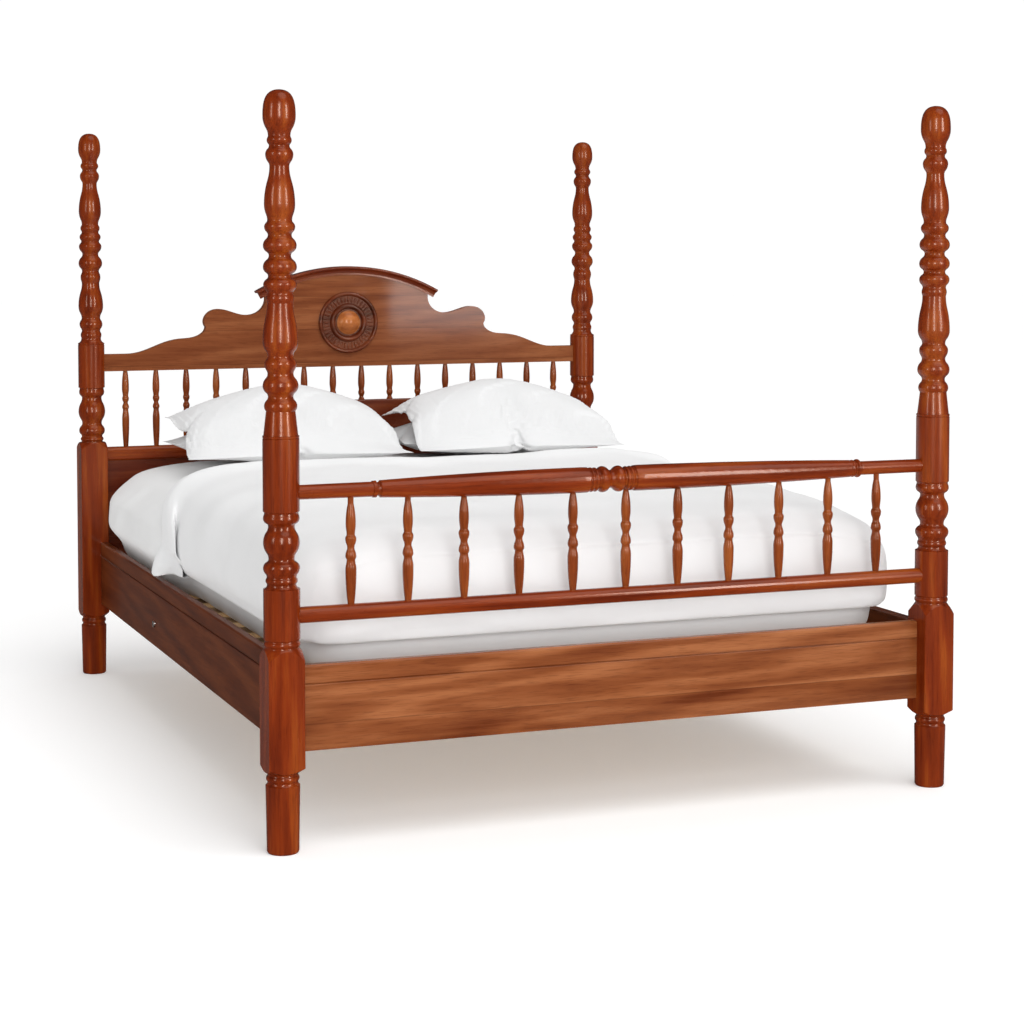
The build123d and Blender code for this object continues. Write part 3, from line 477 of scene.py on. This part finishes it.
# Mattress in its fitted cotton sheet.
# A deep sprung mattress with soft shoulders; the sheet is stretched over it and wrinkles a
# little down its sides.
def white_cotton(name, tint, weave_scale, crease):
    cotton = bpy.data.materials.new(name)
    cotton.use_nodes = True
    tree = cotton.node_tree
    shader = tree.nodes["Principled BSDF"]
    place = tree.nodes.new("ShaderNodeTexCoord").outputs["Object"]
    cloud = linked(tree, "ShaderNodeTexNoise", Vector=place, Scale=5.0, Detail=3.0).outputs["Fac"]
    shade = colour_steps(tree, cloud, [(0.3, tuple(0.965 * c for c in tint)), (0.7, tint)])
    tree.links.new(shade, shader.inputs["Base Color"])
    shader.inputs["Roughness"].default_value = 0.85
    shader.inputs["Specular IOR Level"].default_value = 0.2
    shader.inputs["Sheen Weight"].default_value = 0.12
    threads = linked(tree, "ShaderNodeTexNoise", Vector=place, Scale=weave_scale, Detail=1.0).outputs["Fac"]
    weave = linked(tree, "ShaderNodeBump", Strength=0.12, Distance=0.0004, Height=threads)
    rumple = linked(
        tree, "ShaderNodeTexNoise", Vector=place, Scale=22.0, Detail=3.0, Distortion=0.8
    ).outputs["Fac"]
    soft = linked(
        tree, "ShaderNodeBump", Strength=crease, Distance=0.004, Height=rumple, Normal=weave.outputs["Normal"]
    )
    tree.links.new(soft.outputs["Normal"], shader.inputs["Normal"])
    return cotton


sheet_cotton = white_cotton("sheet_cotton", (0.815, 0.815, 0.812), 1500.0, 0.10)
duvet_cotton = white_cotton("duvet_cotton", (0.85, 0.851, 0.853), 1300.0, 0.12)
pillow_cotton = white_cotton("pillow_cotton", (0.80, 0.802, 0.805), 1400.0, 0.14)
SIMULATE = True


def new_piece(name, points, faces, material):
    mesh = bpy.data.meshes.new(name)
    mesh.from_pydata([tuple(p) for p in points], [], faces)
    mesh.materials.append(material)
    piece = bpy.data.objects.new(name, mesh)
    scene.collection.objects.link(piece)
    mesh.shade_smooth()
    return piece


def apply_all(piece):
    """The piece's modifiers become its mesh."""
    evaluated = piece.evaluated_get(bpy.context.evaluated_depsgraph_get())
    made = bpy.data.meshes.new_from_object(evaluated)
    piece.modifiers.clear()
    piece.data = made
    made.shade_smooth()


DUVET_HOLLOW_HALF = 0.7445
DUVET_HOLLOW_TOP = 0.6435
DUVET_HOLLOW_FOOT = -0.9935
DUVET_HOLLOW_FOOT_WALL = -0.98


def solid_copy(name, node, voxel, material, thicken=0.0):
    """A merged and evenly remeshed copy of a plain CAD soft solid; thicken draws its hollow in."""
    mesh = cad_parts[node].data.copy()
    piece = bpy.data.objects.new(name, mesh)
    scene.collection.objects.link(piece)
    work = bmesh.new()
    work.from_mesh(mesh)
    bmesh.ops.remove_doubles(work, verts=work.verts, dist=1e-5)
    for point in work.verts:
        low_down = point.co.z < DUVET_HOLLOW_TOP and point.co.y > DUVET_HOLLOW_FOOT
        if thicken and low_down and abs(point.co.x) < DUVET_HOLLOW_HALF:
            point.co.x -= math.copysign(thicken, point.co.x)
            point.co.y += thicken if point.co.y < DUVET_HOLLOW_FOOT_WALL else 0.0
    work.to_mesh(mesh)
    work.free()
    mesh.materials.clear()
    remesh = piece.modifiers.new("even", "REMESH")
    remesh.mode = "VOXEL"
    remesh.voxel_size = voxel
    apply_all(piece)
    piece.data.materials.clear()
    piece.data.materials.append(material)
    return piece


def points_of(piece):
    flat = np.empty(len(piece.data.vertices) * 3)
    piece.data.vertices.foreach_get("co", flat)
    return flat.reshape(-1, 3)


def move_points(piece, points):
    piece.data.vertices.foreach_set("co", points.ravel())
    piece.data.update()


def normals_of(piece):
    flat = np.empty(len(piece.data.vertices) * 3)
    piece.data.vertices.foreach_get("normal", flat)
    return flat.reshape(-1, 3)


def puffed(piece, pressure, steps, cap, stiff=12.0, bending=0.6):
    """Cloth under air pressure and no gravity; each point may move up to cap."""
    before = points_of(piece)
    cloth = piece.modifiers.new("air", "CLOTH")
    cloth.settings.quality = 5
    cloth.settings.mass = 0.3
    cloth.settings.tension_stiffness = stiff
    cloth.settings.compression_stiffness = stiff
    cloth.settings.shear_stiffness = stiff / 2
    cloth.settings.bending_stiffness = bending
    cloth.settings.use_pressure = True
    cloth.settings.uniform_pressure_force = pressure
    cloth.settings.effector_weights.gravity = 0.0
    cloth.collision_settings.use_collision = False
    cloth.point_cache.frame_start = 1
    cloth.point_cache.frame_end = steps
    for step in range(1, steps + 1):
        scene.frame_set(step)
    apply_all(piece)
    scene.frame_set(1)
    move = points_of(piece) - before
    far = np.linalg.norm(move, axis=1)
    keep = np.minimum(1.0, cap / np.maximum(far, 1e-9))
    move_points(piece, before + move * keep[:, None])


def rounded_once(piece):
    soften = piece.modifiers.new("finer", "SUBSURF")
    soften.levels = 1
    soften.render_levels = 1
    apply_all(piece)


def waves(points, scale, seed):
    """Smooth noise from -1 to 1 at each point; scale is waves per metre along x, y and z."""
    at = points * np.array(scale) + np.array([seed * 7.31, seed * 3.17, seed * 5.53])
    return np.array([noise.noise(Vector(p)) for p in at])


def ramp01(value, low, high):
    t = np.clip((value - low) / (high - low), 0, 1)
    return t * t * (3 - 2 * t)


def settled(points):
    """Bedding sinks towards its sides and towards the foot; layers keep their order."""
    x, y, z = points.T
    side = np.clip((np.abs(x) - 0.46) / 0.30, 0, 1) ** 2
    foot = np.clip((-0.50 - y) / 0.50, 0, 1) ** 1.6
    drop = 0.042 * side + 0.030 * foot + 0.022 * side * foot
    moved = points.copy()
    moved[:, 2] -= drop * ramp01(z, 0.40, 0.64)
    return moved


def smoothed(piece, times):
    """The piece's edges are rounded off by that many passes of smoothing."""
    smooth = piece.modifiers.new("smooth", "SMOOTH")
    smooth.factor = 0.5
    smooth.iterations = times
    apply_all(piece)


RAIL_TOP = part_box("side_rail_left")[1].z
mattress = solid_copy("mattress_in_sheet", "mattress", 0.022, sheet_cotton)
smoothed(mattress, 38)
shape = points_of(mattress)
x, y, z = shape.T
outward = normals_of(mattress)
over_rail = ramp01(z, RAIL_TOP + 0.004, RAIL_TOP + 0.075) * ramp01(-z, -0.635, -0.56)
sideways = ramp01(np.abs(outward[:, 0]), 0.3, 0.9)
SHEET_SWELL = 0.040
MATTRESS_DRAWN_IN = 0.030
swell = SHEET_SWELL * over_rail * sideways * ramp01(y, 0.15, 0.35) * ramp01(-y, -0.985, -0.93)
shape[:, 0] += np.sign(x) * swell
under_duvet = ramp01(-y, -0.26, -0.10)
shape[:, 0] *= 1 - MATTRESS_DRAWN_IN * under_duvet
shape[:, 1] += 0.022 * ramp01(-y, 0.85, 0.97)
shape[:, 2] -= 0.005 * under_duvet * ramp01(z, 0.45, 0.60)
shape = settled(shape)
lean = np.column_stack([x, y + 0.7 * z, 0.4 * z])
pull = waves(lean, (2, 10, 2.4), 3) * 0.008 + waves(lean, (3, 24, 4), 8) * 0.0025
wrinkled = sideways * ramp01(z, RAIL_TOP + 0.01, RAIL_TOP + 0.08)
shape += outward * (wrinkled * (pull - 0.003) * (1 - under_duvet))[:, None]
shape[:, 2] = np.maximum(shape[:, 2], 0.3455)
move_points(mattress, shape)
rounded_once(mattress)
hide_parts("mattress")
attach(mattress, "mattress")

# Duvet in a white cover.
# One soft quilt over the foot two thirds of the mattress, tucked inside the rails, with its
# head edge turned back in a thick band that bulges over the left rail.
DUVET_WALL_THICKENED = 0.019
duvet = solid_copy("duvet_cover", "duvet", 0.016, duvet_cotton, thicken=DUVET_WALL_THICKENED)
shape = points_of(duvet)
x, y, z = shape.T
inside = (np.abs(x) < DUVET_HOLLOW_HALF) & (z < 0.643) & (y > DUVET_HOLLOW_FOOT)
loose = np.where(inside | (z < 0.42), 0.0, 1.0)
smoothed(duvet, 42)
shape = points_of(duvet)
x, y, z = shape.T
outward = normals_of(duvet)
hills = waves(shape, (3.6, 3.0, 4.0), 11) * 0.010 + waves(shape, (8, 7, 8), 5) * 0.005
fan = waves(np.column_stack([x + 0.6 * y, y - 0.5 * x, z]), (9, 2.4, 3.0), 9) * 0.005
near_foot = ramp01(-y, 0.55, 1.0)
near_side = ramp01(np.abs(x), 0.60, 0.75)
shape = shape + outward * (loose * (hills + fan * (0.15 + 0.85 * near_side * (1 - near_foot))))[:, None]
move_points(duvet, shape)
if SIMULATE:
    before = points_of(duvet)
    puffed(duvet, 3.5, 14, 0.012)
    puffed_shape = points_of(duvet)
    move_points(duvet, before + (puffed_shape - before) * loose[:, None])
shape = settled(points_of(duvet))
x, y, z = shape.T
band = ramp01(y, 0.17, 0.20)
across_band = np.clip((y - 0.20) / 0.10, 0, 1)
down = ramp01(-z, -0.64, -0.42) * ramp01(np.abs(x), 0.66, 0.74)
shape[:, 1] += band * down * (0.05 * across_band - 0.17 * (1 - across_band))
rolled = np.exp(-(((across_band - 0.42) / 0.13) ** 2)) * band * (z > 0.45)
shape[:, 2] -= 0.007 * rolled * (1 - down)
shape[:, 0] -= np.sign(x) * 0.007 * rolled * down
over = ramp01(-z, -0.50, -0.41) * ramp01(y, 0.19, 0.21) * ramp01(np.abs(x), 0.70, 0.74)
shape[:, 0] += np.sign(x) * 0.034 * over
outside_rail = ramp01(np.abs(shape[:, 0]), 0.781, 0.786)
shape[:, 2] = np.where(over > 0.01, np.maximum(z, RAIL_TOP + 0.0015), z) - 0.020 * over * outside_rail
x, y, z = shape.T
held = (z < 0.47) & (np.abs(x) > 0.70) & (y < 0.19)
shape[:, 0] = np.where(held, np.clip(x, -0.7535, 0.7535), x)
low_foot = (z < 0.47) & (y < -0.9)
shape[:, 1] = np.where(low_foot, np.maximum(y, -1.018), shape[:, 1])
move_points(duvet, shape)
rounded_once(duvet)
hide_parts("duvet")
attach(duvet, "duvet")


# Pillows, two on each side.
# Soft feather pillows in plain cases with pointed corners; the upper one of each pair slumps
# over the lower one, its front edge on the bed.
def stuffed_pillow(name, half_wide, half_long, seed):
    """Two layers of cotton joined round the edge and filled by air pressure."""
    across, up = 52, 38
    points, top, bottom, thinner = [], {}, {}, []
    for j in range(up + 1):
        for i in range(across + 1):
            u, v = 2 * i / across - 1, 2 * j / up - 1
            px = half_wide * u * (1 + 0.035 * (1 - v * v))
            py = half_long * v * (1 + 0.05 * (1 - u * u))
            belly = 0.012 * (1 - u**4) * (1 - v**4) + 0.0006
            ripple = 0.004 * noise.noise(Vector((px * 14, py * 14, seed))) * (1 - u * u) * (1 - v * v)
            rim = i in (0, across) or j in (0, up)
            thin = ((1 - abs(u) ** 3) * (1 - abs(v) ** 3)) ** 0.42
            top[i, j] = len(points)
            points.append((px, py, 0 if rim else belly + ripple))
            thinner.append(thin)
            if rim:
                bottom[i, j] = top[i, j]
            else:
                bottom[i, j] = len(points)
                points.append((px, py, -belly + ripple))
                thinner.append(thin)
    faces = []
    for j in range(up):
        for i in range(across):
            faces.append((top[i, j], top[i + 1, j], top[i + 1, j + 1], top[i, j + 1]))
            faces.append((bottom[i, j], bottom[i, j + 1], bottom[i + 1, j + 1], bottom[i + 1, j]))
    pillow = new_piece(name, points, faces, pillow_cotton)
    if SIMULATE:
        puffed(pillow, 9.0, 22, 0.16, stiff=18.0, bending=0.25)
    else:
        shape = points_of(pillow)
        u, v = shape[:, 0] / half_wide, shape[:, 1] / half_long
        shape[:, 2] *= 5.0
        move_points(pillow, shape)
    shape = points_of(pillow)
    shape[:, 2] *= np.array(thinner)
    move_points(pillow, shape)
    rounded_once(pillow)
    return pillow


GRID_STEP = 0.012
GRID_LEFT = -0.96
GRID_FRONT = 0.2
GRID_ACROSS = 160
GRID_ALONG = 110


def support_under(pieces, floor_z):
    """Height of what lies below, on a grid over the bed's head, spread a little sideways."""
    grid = np.full((GRID_ACROSS, GRID_ALONG), floor_z)
    for piece in pieces:
        px, py, pz = points_of(piece).T
        i = np.clip(((px - GRID_LEFT) / GRID_STEP).astype(int), 0, GRID_ACROSS - 1)
        j = np.clip(((py - GRID_FRONT) / GRID_STEP).astype(int), 0, GRID_ALONG - 1)
        np.maximum.at(grid, (i, j), pz)
    for _ in range(3):
        spread = grid.copy()
        for axis in (0, 1):
            for way in (-1, 1):
                spread = np.maximum(spread, np.roll(grid, way, axis) - 0.001)
        grid = spread
    smooth = grid.copy()
    for _ in range(6):
        smooth = sum(np.roll(smooth, w, a) for a in (0, 1) for w in (-1, 1)) / 4
    return np.maximum(grid, smooth), smooth


def laid(pillow, low, high, thick, turn, below, floor_z, ear_lift=0.0):
    """The pillow is laid in its place over what is below it, and is flat only where it rests."""
    shape = points_of(pillow)
    shape -= (shape.max(0) + shape.min(0)) / 2
    size = shape.max(0) - shape.min(0)
    shape[:, 2] *= thick / size[2]
    cos, sin = math.cos(turn), math.sin(turn)
    shape[:, :2] = shape[:, :2] @ np.array([[cos, sin], [-sin, cos]])
    size = shape.max(0) - shape.min(0)
    shape[:, 0] *= (high[0] - low[0]) / size[0]
    shape[:, 1] *= (high[1] - low[1]) / size[1]
    middle = (shape.max(0) + shape.min(0)) / 2
    shape[:, 0] += (low[0] + high[0]) / 2 - middle[0]
    shape[:, 1] += (low[1] + high[1]) / 2 - middle[1]
    grid, smooth = support_under(below, floor_z)
    i = np.clip(((shape[:, 0] - GRID_LEFT) / GRID_STEP).astype(int), 0, GRID_ACROSS - 1)
    j = np.clip(((shape[:, 1] - GRID_FRONT) / GRID_STEP).astype(int), 0, GRID_ALONG - 1)
    u = (shape[:, 0] - low[0]) / (high[0] - low[0]) * 2 - 1
    v = (shape[:, 1] - low[1]) / (high[1] - low[1]) * 2 - 1
    rise = shape[:, 2] - shape[:, 2].min()
    rise = np.where(rise < thick / 2, rise * 0.72, rise - thick * 0.14)
    lift = ear_lift * np.clip(-u, 0, 1) ** 3 * np.clip(v, 0, 1)
    shape[:, 2] = np.maximum(grid[i, j] + 0.002, smooth[i, j] + 0.001 + rise + lift)
    move_points(pillow, shape)


MATTRESS_TOP = 0.6405
pillow_plan = [
    ("pillow_left_lower", (-0.600, 0.600), (0.020, 0.985), 0.150, 0.03, None, 1, 0.0),
    ("pillow_right_lower", (0.045, 0.600), (0.700, 0.985), 0.150, -0.02, None, 2, 0.0),
    ("pillow_left_upper", (-0.630, 0.470), (0.035, 0.945), 0.120, -0.05, "pillow_left_lower", 3, 0.03),
    ("pillow_right_upper", (0.055, 0.475), (0.715, 0.945), 0.120, -0.04, "pillow_right_lower", 4, 0.0),
]
pillows = {}
for body, low, high, thick, turn, under, seed, ear in pillow_plan:
    half_wide, half_long = (high[0] - low[0]) / 2 + 0.03, (high[1] - low[1]) / 2 + 0.03
    pillow = stuffed_pillow(body + "_case", half_wide, half_long, seed)
    below = [pillows[under]] if under else []
    laid(pillow, low, high, thick, turn, below, MATTRESS_TOP, ear)
    pillows[body] = pillow
for body, pillow in pillows.items():
    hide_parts(body)
    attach(pillow, body)
